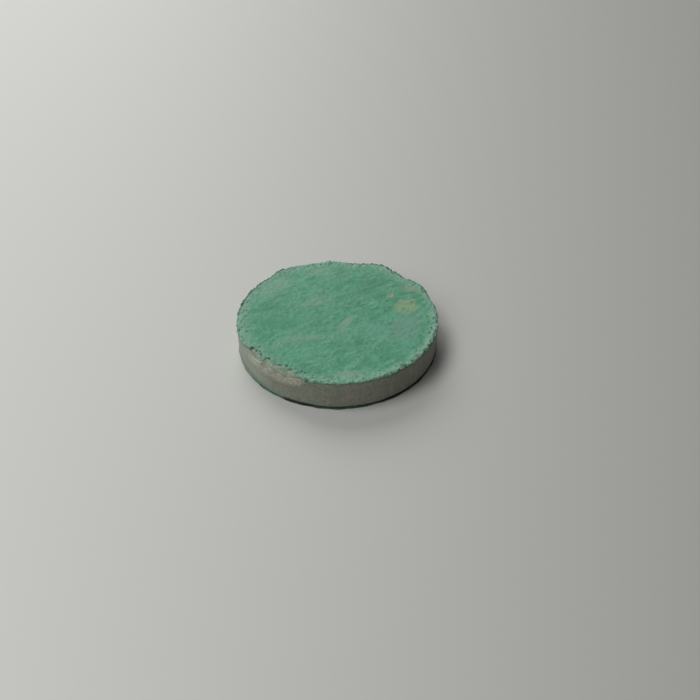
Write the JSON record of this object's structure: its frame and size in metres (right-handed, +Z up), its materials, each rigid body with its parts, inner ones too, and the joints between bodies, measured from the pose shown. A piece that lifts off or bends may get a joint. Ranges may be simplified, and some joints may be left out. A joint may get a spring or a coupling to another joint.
{
  "type": "air stone",
  "caption": "Flat round air stone: bonded porous stone plates over an air gallery, green coated faces, sealed grey rim and a flush inlet bush.",
  "frame": {"origin": "middle of the underside, on the surface that the disc rests on", "axes": "+Z up through the disc's thickness, +Y towards the air inlet in the rim, +X to the right seen from the front"},
  "size_m": [0.0503, 0.0502, 0.0085],
  "materials": {
    "upper_coat": "matt green mineral coat, brushed on, worn and stained",
    "lower_coat": "matt green mineral coat",
    "stone": "open grained tan grey stone",
    "rim_skin": "smooth matt grey sealing skin",
    "bond_adhesive": "set resin adhesive",
    "bush_plastic": "moulded dark grey plastic",
    "seal_rubber": "matt black rubber"
  },
  "bodies": {
    "root": {"top_face_coat": "upper_coat", "upper_stone_plate": "stone", "plate_bond_layer": "bond_adhesive", "lower_stone_plate": "stone", "bottom_face_coat": "lower_coat", "side_seal_band": "rim_skin", "inlet_bush": "bush_plastic", "bush_seal_ring": "seal_rubber"}
  },
  "joints": []
}
